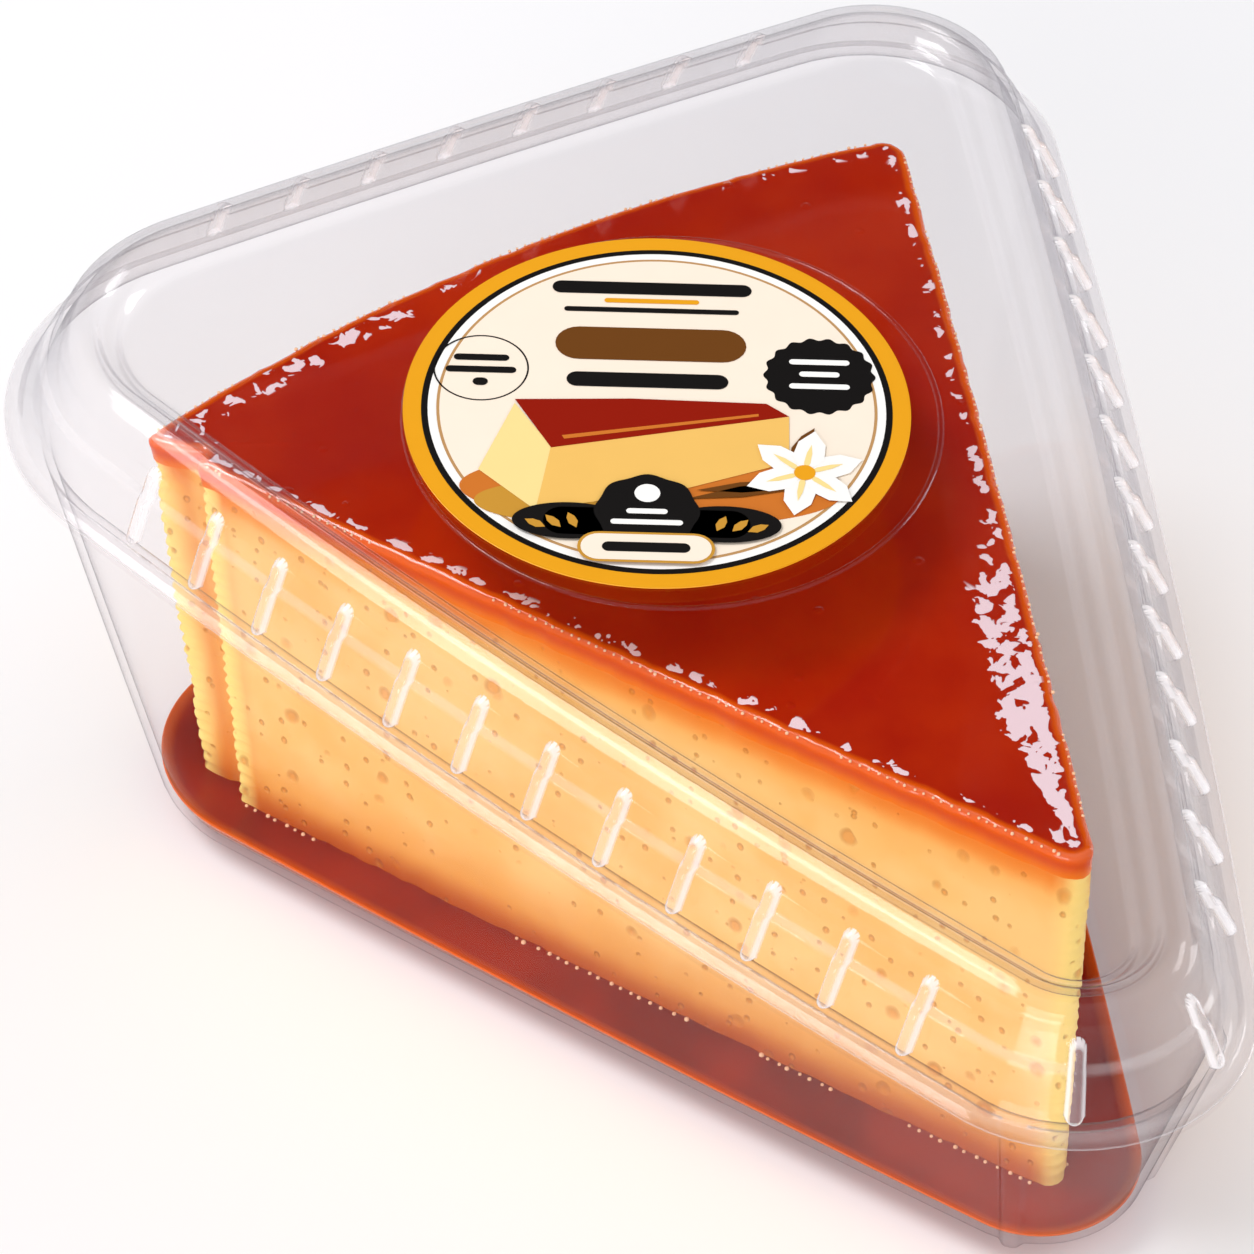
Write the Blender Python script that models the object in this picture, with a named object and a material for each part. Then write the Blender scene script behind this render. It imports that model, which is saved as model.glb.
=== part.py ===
"""A wedge of leche flan in its clear two-piece pack.

Metres, +Z up. The pack stands on z = 0 with the tip of the wedge towards -Y and its back towards +Y.
The flan is a block of custard under a layer of caramel, and it stands in a shallow pool of caramel on
the floor of a thin tub. A ribbed lid with a sunken panel closes the tub, and a round label lies on it.

Outlines are rounded polygons: sharp corners, a radius at each one and a slight outward bow on each side.
Corners are listed counter-clockwise from the tip: tip, back right, back left.
"""

import math

import bmesh
import bpy
from mathutils import Vector

MM = 0.001
GAP = 0.3 * MM

# Rim of the pack, seen from above. Its sides meet in a sharp tip at the plan's own origin.
RIM_DEPTH = 140 * MM
RIM_HALF_ANGLE = math.radians(21.5)
RIM_HALF_WIDTH = RIM_DEPTH * math.tan(RIM_HALF_ANGLE)
RIM_CORNERS = [Vector((0, 0)), Vector((RIM_HALF_WIDTH, RIM_DEPTH)), Vector((-RIM_HALF_WIDTH, RIM_DEPTH))]
RIM_RADII = [9.8 * MM, 12 * MM, 16.5 * MM]
RIM_BOWS = [1.3 * MM, 0.4 * MM, 1.6 * MM]

# Floor of the tub, which is wider at the tip than the rim and set a little towards +X under it.
FLOOR_CORNERS = [Vector((15, 22.6)) * MM, Vector((52.9, 136)) * MM, Vector((-51.3, 136)) * MM]
FLOOR_RADII = [10.2 * MM, 12 * MM, 14 * MM]
FLOOR_BOWS = [0.6 * MM, 0.4 * MM, 0.4 * MM]

WALL = 0.8 * MM
FOOT_RADIUS = 4 * MM
FOOT_STEPS = 4
TUB_HEIGHT = 50.5 * MM
TIP_ARC = RIM_RADII[0] * (math.pi - 2 * RIM_HALF_ANGLE)
TUB_LIP = 0.9 * MM
TUB_WALL_GROW = 3.4 * MM
FLANGE_GROW = 6.2 * MM
TUB_RIB_PLACE = 0.14
TUB_RIB_WIDTH = 2.6 * MM
TUB_RIB_DEPTH = 0.9 * MM

# Lid, as heights above the ground and distances inwards from the rim outline.
LID_FLANGE_Z = TUB_HEIGHT + GAP
LID_SHEET = 0.7 * MM
SKIRT_FOOT = (-4.5 * MM, LID_FLANGE_Z + LID_SHEET)
SKIRT_HEAD = (-0.8 * MM, 59.3 * MM)
CREASE_Z = 56.9 * MM
CREASE_STEP = 0.35 * MM
PANEL_EDGE = (5.4 * MM, 58.9 * MM)
RIDGE_TOP = (1.1 * MM, 61.4 * MM)

# Grip ribs, evenly spaced along the skirt from one back corner round the tip to the other, and along the back.
RIB_PITCH = 8.1 * MM
RIB_WIDTH = 1.7 * MM
RIB_CREST = 0.7 * MM
RIB_DEPTH = 0.9 * MM
RIB_FOOT_Z = 52.5 * MM
RIB_HEAD_Z = 59.0 * MM
RIB_ROUND = 0.7 * MM
RIB_FREE_ANGLE = 0.42

# Flan. Its front left corner is cut back in a small notch, and its back is an arc of the whole round flan.
FLAN_FOOT = 1.2 * MM
FLAN_TOP = 49 * MM
CARAMEL_DEPTH = 2.8 * MM
CARAMEL_EDGE = 0.8 * MM
FLAN_TOP_CORNERS = [Vector(c) * MM for c in ((11, 39.2), (43.4, 133.1), (-42.2, 125.8), (-36.4, 121.4), (-38.1, 120.3))]
FLAN_FOOT_CORNERS = [Vector(c) * MM for c in ((11.9, 38.8), (42.7, 130.9), (-37.8, 124.6), (-34.1, 119.5), (-36, 118.4))]
FLAN_RADII = [1.8 * MM, 2.5 * MM, 0.9 * MM, 0.4 * MM, 0.7 * MM]
FLAN_BOWS = [0.3 * MM, 4.6 * MM, 0.2 * MM, 0, 0.3 * MM]

POOL_TOP = 4.2 * MM
POOL_MARGIN = 0.35 * MM

LABEL_CENTRE = Vector((-1.6, 98.7)) * MM
LABEL_RADIUS = 23 * MM
LABEL_THICKNESS = 0.4 * MM
LABEL_SIDES = 64


def fillets(corners, radii, inset):
    """Arc at each corner of a polygon moved inwards: its start, centre, radius, first angle and turn."""
    count = len(corners)
    directions = [(corners[(i + 1) % count] - corners[i]).normalized() for i in range(count)]
    inwards = [Vector((-d.y, d.x)) for d in directions]
    arcs = []
    for i in range(count):
        before, after = directions[i - 1], directions[i]
        turn = math.atan2(before.cross(after), before.dot(after))
        # The moved corner lies on both moved sides.
        moved = corners[i] + (inwards[i - 1] + inwards[i]) * (inset / (1 + inwards[i - 1].dot(inwards[i])))
        side = math.copysign(1, turn)
        radius = max(radii[i] - side * inset, 0.1 * MM)
        start = moved - before * (radius * math.tan(abs(turn) / 2))
        centre = start + inwards[i - 1] * (radius * side)
        away = -inwards[i - 1] * side
        arcs.append((start, centre, radius, math.atan2(away.y, away.x), turn))
    return arcs, inwards


def outline(corners, radii, bows, inset, stations):
    """Points of a rounded polygon. A station is a stretch, corner then side in turn, and how far along it."""
    arcs, inwards = fillets(corners, radii, inset)
    points = []
    for stretch, along in stations:
        i, on_side = divmod(stretch, 2)
        start, centre, radius, first, turn = arcs[i]
        if on_side:
            last = first + turn
            a = centre + Vector((math.cos(last), math.sin(last))) * radius
            b = arcs[(i + 1) % len(arcs)][0]
            points.append(a.lerp(b, along) - inwards[i] * (4 * bows[i] * along * (1 - along)))
        else:
            angle = first + turn * along
            points.append(centre + Vector((math.cos(angle), math.sin(angle))) * radius)
    return points


def even_stations(corner_count, arc_steps, side_steps):
    """Stations at even fractions: arc_steps on every corner and side_steps on every side."""
    stations = []
    for i in range(corner_count):
        stations += [(2 * i, k / arc_steps) for k in range(arc_steps)]
        stations += [(2 * i + 1, k / side_steps) for k in range(side_steps)]
    return stations


def closed_mesh(name, rings, material):
    """Solid lofted through rings of equal length, capped at the first and the last one."""
    mesh = bpy.data.meshes.new(name)
    shape = bmesh.new()
    loops = [[shape.verts.new(point) for point in ring] for ring in rings]
    for low, high in zip(loops, loops[1:]):
        for i in range(len(low)):
            k = (i + 1) % len(low)
            shape.faces.new((low[i], low[k], high[k], high[i]))
    shape.faces.new(loops[0])
    shape.faces.new(loops[-1])
    bmesh.ops.recalc_face_normals(shape, faces=shape.faces)
    shape.to_mesh(mesh)
    shape.free()
    mesh.shade_smooth()
    mesh.set_sharp_from_angle(angle=math.radians(40))
    mesh.materials.append(material)
    piece = bpy.data.objects.new(name, mesh)
    bpy.context.collection.objects.link(piece)
    return piece


def material_of(name, colour, roughness, alpha=1.0):
    material = bpy.data.materials.new(name)
    material.use_nodes = True
    shader = material.node_tree.nodes["Principled BSDF"]
    shader.inputs["Base Color"].default_value = (*colour, 1)
    shader.inputs["Roughness"].default_value = roughness
    shader.inputs["Metallic"].default_value = 0
    shader.inputs["Alpha"].default_value = alpha
    return material


def at_height(points, z):
    """Plan points lifted to z, with the plan moved so that the whole pack is centred on the origin."""
    return [Vector((p.x - PLAN_CENTRE.x, p.y - PLAN_CENTRE.y, z)) for p in points]


def plan_centre():
    flange = outline(RIM_CORNERS, RIM_RADII, RIM_BOWS, -FLANGE_GROW, even_stations(3, 40, 40))
    xs = [p.x for p in flange]
    ys = [p.y for p in flange]
    return Vector(((min(xs) + max(xs)) / 2, (min(ys) + max(ys)) / 2))


PLAN_CENTRE = plan_centre()


def blend(a, b, t):
    """Between two lists of numbers or vectors, entry by entry."""
    return [x + (y - x) * t for x, y in zip(a, b)]


def tub_points(height, inset, stations):
    """Tub wall's outline at a height, where it has widened from the floor towards the rim."""
    t = height / TUB_HEIGHT
    corners = blend(FLOOR_CORNERS, RIM_CORNERS, t)
    radii = blend(FLOOR_RADII, RIM_RADII, t)
    bows = blend(FLOOR_BOWS, RIM_BOWS, t)
    return outline(corners, radii, bows, inset - TUB_WALL_GROW * t, stations)


def tub_stations():
    """Even stations, with four more for the upright rib at each end of the rounded tip."""
    stations = [s for s in even_stations(3, 7, 5) if s[0] != 0]
    stations += [(0, k / 9) for k in (0, 3, 4, 5, 6)]
    for middle in (TUB_RIB_PLACE, 1 - TUB_RIB_PLACE):
        stations += [(0, middle + TUB_RIB_WIDTH / TIP_ARC * k) for k in (-0.5, -0.25, 0.25, 0.5)]
    return sorted(stations)


def foot_profile(radius, lift):
    """Rounded foot from floor to wall, as insets and heights above the floor."""
    quarter = [math.pi / 2 * k / FOOT_STEPS for k in range(FOOT_STEPS + 1)]
    return [(radius * (1 - math.sin(a)), lift + radius * (1 - math.cos(a))) for a in quarter]


def build_tub(material):
    stations = tub_stations()
    crests = {i for i, s in enumerate(stations) if is_tub_rib_crest(s)}
    outer = foot_profile(FOOT_RADIUS, 0)
    inner = [(inset + WALL, z) for inset, z in foot_profile(FOOT_RADIUS - WALL, WALL)]
    rows = []
    for inset, z in outer + [(0, TUB_HEIGHT - TUB_LIP)]:
        points = tub_points(z, inset, stations)
        if z >= FOOT_RADIUS / 2 and inset < WALL:
            spread = tub_points(z, inset - TUB_RIB_DEPTH, stations)
            points = [spread[i] if i in crests and z < TUB_HEIGHT - 2 * TUB_LIP else p for i, p in enumerate(points)]
        rows.append(at_height(points, z))
    for grow, z in ((FLANGE_GROW, TUB_HEIGHT - TUB_LIP), (FLANGE_GROW, TUB_HEIGHT)):
        rows.append(at_height(outline(RIM_CORNERS, RIM_RADII, RIM_BOWS, -grow, stations), z))
    for inset, z in [(WALL, TUB_HEIGHT)] + inner[::-1]:
        rows.append(at_height(tub_points(z, inset, stations), z))
    return closed_mesh("tub", rows, material)


def is_tub_rib_crest(station):
    stretch, along = station
    across = min(abs(along - TUB_RIB_PLACE), abs(along - 1 + TUB_RIB_PLACE)) * TIP_ARC
    return stretch == 0 and across < 0.4 * TUB_RIB_WIDTH


def stretch_lengths():
    """Length of each corner and side of the rim outline, in order."""
    arcs, _ = fillets(RIM_CORNERS, RIM_RADII, 0)
    lengths = []
    for i, (start, centre, radius, first, turn) in enumerate(arcs):
        end = centre + Vector((math.cos(first + turn), math.sin(first + turn))) * radius
        lengths += [radius * abs(turn), (arcs[(i + 1) % 3][0] - end).length]
    return lengths


def rib_centres():
    """Rib middles as stations: even steps along each side, and round the tip, clear of the back corners."""
    lengths = stretch_lengths()
    centres = []
    for side in (1, 3, 5):
        count = int(lengths[side] / RIB_PITCH)
        margin = (lengths[side] - (count - 1) * RIB_PITCH) / 2
        centres += [(side, (margin + RIB_PITCH * k) / lengths[side]) for k in range(count)]
    return centres + [(0, 0.5 - RIB_FREE_ANGLE / 2), (0, 0.5 + RIB_FREE_ANGLE / 2)]


def lid_stations():
    """Lid stations: four across each rib, and even steps round the corners. Returns them and the rib crests."""
    lengths = stretch_lengths()
    stations = {}
    for stretch, middle in rib_centres():
        for across, crest in ((-RIB_WIDTH / 2, False), (-RIB_CREST / 2, True), (RIB_CREST / 2, True), (RIB_WIDTH / 2, False)):
            stations[(stretch, middle + across / lengths[stretch])] = crest
    for corner, steps in ((0, (0, 0.12, 0.5, 0.88, 1)), (2, (0, 0.2, 0.4, 0.6, 0.8, 1)), (4, (0, 0.2, 0.4, 0.6, 0.8, 1))):
        for along in steps:
            stations[(corner, along)] = False
    ordered = sorted(stations)
    return ordered, [stations[s] for s in ordered]


def skirt_inset(z):
    """Skirt's slope from its foot to its head, with a small ledge at the crease."""
    t = (z - SKIRT_FOOT[1]) / (SKIRT_HEAD[1] - SKIRT_FOOT[1])
    inset = SKIRT_FOOT[0] + (SKIRT_HEAD[0] - SKIRT_FOOT[0]) * t
    return inset if z > CREASE_Z else inset + CREASE_STEP


def build_lid(material):
    stations, crests = lid_stations()
    panel_in, panel_z = PANEL_EDGE
    ridge_in, ridge_z = RIDGE_TOP
    outer = [
        (panel_in, panel_z, 0),
        (panel_in - 1.2 * MM, panel_z + 0.9 * MM, 0),
        (ridge_in + 1.6 * MM, panel_z + 1.1 * MM, 0),
        (ridge_in + 0.8 * MM, ridge_z - 0.3 * MM, 0),
        (ridge_in, ridge_z, 0),
        (ridge_in - 0.9 * MM, ridge_z - 0.4 * MM, 0),
        (ridge_in - 1.6 * MM, ridge_z - 1.3 * MM, 0),
        (SKIRT_HEAD[0], SKIRT_HEAD[1], 0),
        (skirt_inset(RIB_HEAD_Z - RIB_ROUND), RIB_HEAD_Z - RIB_ROUND, RIB_DEPTH),
        (skirt_inset(CREASE_Z + 0.01 * MM), CREASE_Z + 0.1 * MM, RIB_DEPTH),
        (skirt_inset(CREASE_Z), CREASE_Z - 0.1 * MM, RIB_DEPTH),
        (skirt_inset(RIB_FOOT_Z + RIB_ROUND), RIB_FOOT_Z + RIB_ROUND, RIB_DEPTH),
        (skirt_inset(RIB_FOOT_Z), RIB_FOOT_Z, 0),
        (SKIRT_FOOT[0], SKIRT_FOOT[1], 0),
        (-FLANGE_GROW, LID_FLANGE_Z + LID_SHEET, 0),
    ]
    inner = [
        (-FLANGE_GROW, LID_FLANGE_Z, 0),
        (SKIRT_FOOT[0] + 1.3 * MM, LID_FLANGE_Z, 0),
        (SKIRT_HEAD[0] + 1.0 * MM, SKIRT_HEAD[1] - 0.1 * MM, 0),
        (ridge_in, ridge_z - LID_SHEET, 0),
        (panel_in - 1.6 * MM, panel_z + 0.1 * MM, 0),
        (panel_in - 0.3 * MM, panel_z - LID_SHEET, 0),
    ]
    rows = []
    for inset, z, push in outer + inner:
        points = outline(RIM_CORNERS, RIM_RADII, RIM_BOWS, inset, stations)
        if push:
            pushed = outline(RIM_CORNERS, RIM_RADII, RIM_BOWS, inset - push, stations)
            points = [out if crest else p for p, out, crest in zip(points, pushed, crests)]
        rows.append(at_height(points, z))
    return closed_mesh("lid", rows, material)


def flan_points(z, grow=0):
    t = (z - FLAN_FOOT) / (FLAN_TOP - FLAN_FOOT)
    corners = blend(FLAN_FOOT_CORNERS, FLAN_TOP_CORNERS, t)
    return outline(corners, FLAN_RADII, FLAN_BOWS, -grow, FLAN_STATIONS)


def flan_stations():
    """Curved corners, and enough steps on the arc of the back."""
    stations = []
    for i in range(len(FLAN_RADII)):
        side_steps = 12 if FLAN_BOWS[i] > 1 * MM else 2
        stations += [(2 * i, k / 4) for k in range(4)]
        stations += [(2 * i + 1, k / side_steps) for k in range(side_steps)]
    return stations


FLAN_STATIONS = flan_stations()


def build_custard(material):
    top = FLAN_TOP - CARAMEL_DEPTH - GAP
    rows = [at_height(flan_points(z), z) for z in (FLAN_FOOT, POOL_TOP, (POOL_TOP + top) / 2, top)]
    return closed_mesh("custard", rows, material)


def build_caramel_top(material):
    rows = [
        at_height(flan_points(FLAN_TOP - CARAMEL_DEPTH), FLAN_TOP - CARAMEL_DEPTH),
        at_height(flan_points(FLAN_TOP - CARAMEL_EDGE), FLAN_TOP - CARAMEL_EDGE),
        at_height(flan_points(FLAN_TOP, -0.3 * CARAMEL_EDGE), FLAN_TOP - 0.25 * CARAMEL_EDGE),
        at_height(flan_points(FLAN_TOP, -CARAMEL_EDGE), FLAN_TOP),
    ]
    return closed_mesh("caramel_top", rows, material)


def build_caramel_pool(material):
    """Ring of sauce between the tub's wall and the foot of the flan."""
    stations = even_stations(3, 8, 6)
    profile = [
        (2.5 * MM + POOL_MARGIN, FLAN_FOOT),
        (WALL + 1.1 * MM + POOL_MARGIN, 2.3 * MM),
        (WALL + POOL_MARGIN, POOL_TOP),
    ]
    outside = [at_height(tub_points(z, inset, stations), z) for inset, z in profile]
    inside = [at_height(flan_points(z, GAP), z) for z in (POOL_TOP, FLAN_FOOT)]
    mesh = bpy.data.meshes.new("caramel_pool")
    shape = bmesh.new()
    outer_loops = [[shape.verts.new(p) for p in ring] for ring in outside]
    inner_loops = [[shape.verts.new(p) for p in ring] for ring in inside]
    for loops in (outer_loops, inner_loops):
        for low, high in zip(loops, loops[1:]):
            for i in range(len(low)):
                k = (i + 1) % len(low)
                shape.faces.new((low[i], low[k], high[k], high[i]))
    for outer_loop, inner_loop in ((outer_loops[-1], inner_loops[0]), (outer_loops[0], inner_loops[-1])):
        edges = [shape.edges.get((loop[i], loop[i - 1])) for loop in (outer_loop, inner_loop) for i in range(len(loop))]
        bmesh.ops.triangle_fill(shape, use_beauty=True, edges=edges)
    bmesh.ops.recalc_face_normals(shape, faces=shape.faces)
    shape.to_mesh(mesh)
    shape.free()
    mesh.materials.append(material)
    piece = bpy.data.objects.new("caramel_pool", mesh)
    bpy.context.collection.objects.link(piece)
    return piece


def build_label(material):
    low = PANEL_EDGE[1] + GAP
    turns = [2 * math.pi * k / LABEL_SIDES for k in range(LABEL_SIDES)]
    circle = [LABEL_CENTRE + Vector((math.cos(a), math.sin(a))) * LABEL_RADIUS for a in turns]
    rows = [at_height(circle, low), at_height(circle, low + LABEL_THICKNESS)]
    return closed_mesh("label", rows, material)


def main():
    for old in list(bpy.data.objects):
        bpy.data.objects.remove(old)
    clear = material_of("clear plastic", (0.93, 0.93, 0.95), 0.05, alpha=0.3)
    build_tub(clear)
    build_lid(clear)
    build_custard(material_of("custard", (0.94, 0.62, 0.27), 0.45))
    build_caramel_top(material_of("caramel layer", (0.48, 0.035, 0.005), 0.15))
    build_caramel_pool(material_of("caramel sauce", (0.28, 0.02, 0.003), 0.1))
    build_label(material_of("paper label", (0.93, 0.8, 0.62), 0.5))


main()
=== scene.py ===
import math

import bmesh
import bpy
from mathutils import Matrix, Vector, noise


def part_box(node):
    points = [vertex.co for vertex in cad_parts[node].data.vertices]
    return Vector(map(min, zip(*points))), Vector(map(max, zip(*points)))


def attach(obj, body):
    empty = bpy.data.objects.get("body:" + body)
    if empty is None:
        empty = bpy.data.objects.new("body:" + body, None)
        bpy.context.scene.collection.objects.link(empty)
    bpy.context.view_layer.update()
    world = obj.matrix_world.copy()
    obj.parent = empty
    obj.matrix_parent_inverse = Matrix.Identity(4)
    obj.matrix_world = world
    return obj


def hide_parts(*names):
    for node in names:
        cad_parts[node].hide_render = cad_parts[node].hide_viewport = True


# The looks of a wedge of leche flan in its clear pack. Plan positions are in millimetres, with the sharp tip
# of the rim at (0, 0), its back along y = RIM_DEPTH and x to the right; heights are above the ground.

MM = 0.001

# Rim of the pack, floor of the tub and flan: sharp corners from the tip counter-clockwise, radii and bows.
RIM_DEPTH = 140
RIM_HALF_WIDTH = RIM_DEPTH * math.tan(math.radians(21.5))
RIM = (((0, 0), (RIM_HALF_WIDTH, RIM_DEPTH), (-RIM_HALF_WIDTH, RIM_DEPTH)), (9.8, 12, 16.5), (1.3, 0.4, 1.6))
FLOOR = (((15, 22.6), (52.9, 136), (-51.3, 136)), (10.2, 12, 14), (0.6, 0.4, 0.4))
FLAN_TOP = (((11.0, 39.2), (43.4, 133.1), (-42.2, 125.8), (-36.4, 121.4), (-38.1, 120.3)),
            (1.8, 2.5, 0.9, 0.4, 0.7), (0.3, 4.6, 0.2, 0, 0.3))
FLAN_FOOT = (((11.9, 38.8), (42.7, 130.9), (-37.8, 124.6), (-34.1, 119.5), (-36.0, 118.4)),
             (1.8, 2.5, 0.9, 0.4, 0.7), (0.3, 4.6, 0.2, 0, 0.3))

FLANGE_GROW = 6.2
WALL = 0.8
TUB_TOP = 50.5
TUB_LIP = 0.35
TUB_WALL_GROW = 3.4
FOOT_RADIUS = 4
TUB_RIB_PLACE = 0.14
TIP_ARC = 23.4
LID_FLANGE_Z = 50.8
SKIRT_FOOT = (-4.5, 51.5)
SKIRT_HEAD = (-0.8, 59.3)
CREASE_Z = 56.6
PANEL_EDGE = (5.4, 58.9)
RIB_PITCH = 8.12
RIB_HALF = 0.75
RIB_RISE = 1.0
RIB_SPAN = (53.2, 58.3)
FLAN_BOTTOM_Z = 1.0
FLAN_TOP_Z = 49
CARAMEL_BASE_Z = 46.2
POOL_Z = 4.2
LABEL_CENTRE = (-1.6, 98.7)
LABEL_RADIUS = 23

# Camera.
AZIMUTH = math.radians(-28.3)
ELEVATION = math.radians(45.5)
ROLL = math.radians(1.5)
DISTANCE = 532.6
TARGET = (-3.19, 100.37, 30)
LENS = 162.22
FLAG_WAY = (0.332, 0.617, 0.713)


# ---------------------------------------------------------------- outlines

def fillets(corners, radii, inset):
    corners = [Vector(c) for c in corners]
    count = len(corners)
    ways = [(corners[(i + 1) % count] - corners[i]).normalized() for i in range(count)]
    inwards = [Vector((-d.y, d.x)) for d in ways]
    arcs = []
    for i in range(count):
        before, after = ways[i - 1], ways[i]
        turn = math.atan2(before.cross(after), before.dot(after))
        moved = corners[i] + (inwards[i - 1] + inwards[i]) * (inset / (1 + inwards[i - 1].dot(inwards[i])))
        side = math.copysign(1, turn)
        radius = max(radii[i] - side * inset, 0.1)
        start = moved - before * (radius * math.tan(abs(turn) / 2))
        centre = start + inwards[i - 1] * (radius * side)
        away = -inwards[i - 1] * side
        arcs.append((start, centre, radius, math.atan2(away.y, away.x), turn))
    return arcs, inwards


def outline(shape, inset, stations):
    corners, radii, bows = shape
    arcs, inwards = fillets(corners, radii, inset)
    points = []
    for stretch, along in stations:
        i, on_side = divmod(stretch, 2)
        start, centre, radius, first, turn = arcs[i]
        angle = first + turn * (1 if on_side else along)
        point = centre + Vector((math.cos(angle), math.sin(angle))) * radius
        if on_side:
            bow = inwards[i] * (4 * bows[i] * along * (1 - along))
            point = point.lerp(arcs[(i + 1) % len(arcs)][0], along) - bow
        points.append(point)
    return points


def even_stations(corner_count, arc_steps, side_steps):
    stations = []
    for i in range(corner_count):
        stations += [(2 * i, k / arc_steps) for k in range(arc_steps)]
        stations += [(2 * i + 1, k / side_steps) for k in range(side_steps)]
    return stations


def between(a, b, t):
    corners = [Vector(p).lerp(Vector(q), t) for p, q in zip(a[0], b[0])]
    radii = [p + (q - p) * t for p, q in zip(a[1], b[1])]
    bows = [p + (q - p) * t for p, q in zip(a[2], b[2])]
    return corners, radii, bows


def tub_outline(z, inset, stations):
    t = z / TUB_TOP
    return outline(between(FLOOR, RIM, t), inset - TUB_WALL_GROW * t, stations)


def flan_outline(z, inset, stations):
    t = (z - FLAN_BOTTOM_Z) / (FLAN_TOP_Z - FLAN_BOTTOM_Z)
    return outline(between(FLAN_FOOT, FLAN_TOP, t), inset, stations)


def smooth(low, high, x):
    t = min(max((x - low) / (high - low), 0), 1)
    return t * t * (3 - 2 * t)


# ---------------------------------------------------------------- meshes

def lift(point, z):
    return Vector((point[0] - SHIFT.x, point[1] - SHIFT.y, z)) * MM


def piece(name, verts, faces, material, replaced=(), flat=False, sharp=35, values=None):
    """Makes a mesh that rides with the part. values maps an attribute's name to one number per vertex."""
    mesh = bpy.data.meshes.new(name)
    mesh.from_pydata([tuple(v) for v in verts], [], faces)
    shape = bmesh.new()
    shape.from_mesh(mesh)
    bmesh.ops.recalc_face_normals(shape, faces=shape.faces)
    shape.to_mesh(mesh)
    shape.free()
    for key, numbers in (values or {}).items():
        mesh.attributes.new(key, "FLOAT", "POINT").data.foreach_set("value", numbers)
    if not flat:
        mesh.shade_smooth()
        mesh.set_sharp_from_angle(angle=math.radians(sharp))
    mesh.materials.append(material)
    made = bpy.data.objects.new(name, mesh)
    bpy.context.collection.objects.link(made)
    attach(made, "root")
    if replaced:
        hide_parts(*replaced)
    return made


def loft(rings, cap_first=True, cap_last=True):
    """Vertices and faces through rings of equal length."""
    count = len(rings[0])
    verts = [v for ring in rings for v in ring]
    faces = []
    for r in range(len(rings) - 1):
        for i in range(count):
            k = (i + 1) % count
            faces.append((r * count + i, r * count + k, (r + 1) * count + k, (r + 1) * count + i))
    if cap_first:
        faces.append(tuple(range(count))[::-1])
    if cap_last:
        faces.append(tuple(range((len(rings) - 1) * count, len(rings) * count)))
    return verts, faces


# ---------------------------------------------------------------- materials

def new_material(name):
    material = bpy.data.materials.new(name)
    material.use_nodes = True
    tree = material.node_tree
    tree.nodes.clear()
    out = tree.nodes.new("ShaderNodeOutputMaterial")
    return material, tree, out


def node(tree, kind, inputs=None, **settings):
    made = tree.nodes.new("ShaderNode" + kind)
    for key, value in settings.items():
        setattr(made, key, value)
    for key, value in (inputs or {}).items():
        if hasattr(value, "is_output"):
            tree.links.new(value, made.inputs[key])
        else:
            made.inputs[key].default_value = value
    return made


def mixed(tree, fac, a, b):
    made = node(tree, "Mix", {0: fac}, data_type="RGBA")
    for index, value in ((6, a), (7, b)):
        if hasattr(value, "is_output"):
            tree.links.new(value, made.inputs[index])
        else:
            made.inputs[index].default_value = (*value, 1)
    return made.outputs[2]


def math_node(tree, operation, a, b=0.0, clamp=False):
    return node(tree, "Math", {0: a, 1: b}, operation=operation, use_clamp=clamp).outputs[0]


def ranged(tree, value, low, high, to_low=0.0, to_high=1.0):
    return node(tree, "MapRange", {0: value, 1: low, 2: high, 3: to_low, 4: to_high},
                interpolation_type="SMOOTHSTEP").outputs[0]


def attribute(tree, name):
    return node(tree, "Attribute", attribute_name=name).outputs["Fac"]


def srgb(r, g, b):
    return tuple(((c / 255 + 0.055) / 1.055) ** 2.4 if c > 10 else c / 255 / 12.92 for c in (r, g, b))


def plastic(name, clear, edge, edge_power, shine, most, power):
    """Clear sheet: see-through face on, tinted and mirror-like edge on. It casts almost no shadow.

    Where the painted-highlight attribute is above 0, the sheet is painted a little white as a highlight.
    """
    material, tree, out = new_material(name)
    facing = node(tree, "LayerWeight", {"Blend": 0.5}).outputs["Facing"]
    tint = mixed(tree, math_node(tree, "POWER", facing, edge_power), clear, edge)
    through = node(tree, "BsdfTransparent", {"Color": tint}).outputs[0]
    gloss = node(tree, "BsdfAnisotropic", {"Color": (1, 1, 1, 1), "Roughness": 0.09}).outputs[0]
    rise = math_node(tree, "MULTIPLY", math_node(tree, "POWER", facing, power), most)
    strength = math_node(tree, "ADD", rise, shine)
    body = node(tree, "MixShader", {0: strength, 1: through, 2: gloss}).outputs[0]
    # White sheet mixed in where the painted highlight lies.
    white = node(tree, "BsdfPrincipled", {"Base Color": (1, 0.97, 0.97, 1), "Roughness": 0.15}).outputs[0]
    body = node(tree, "MixShader", {0: attribute(tree, "painted_highlight"), 1: body, 2: white}).outputs[0]
    path = node(tree, "LightPath")
    soft = math_node(tree, "MAXIMUM", path.outputs["Is Shadow Ray"], path.outputs["Is Diffuse Ray"])
    unseen = node(tree, "BsdfTransparent", {"Color": (0.992, 0.99, 0.99, 1)}).outputs[0]
    both = node(tree, "MixShader", {0: soft, 1: body, 2: unseen}).outputs[0]
    tree.links.new(both, out.inputs[0])
    return material


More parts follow.
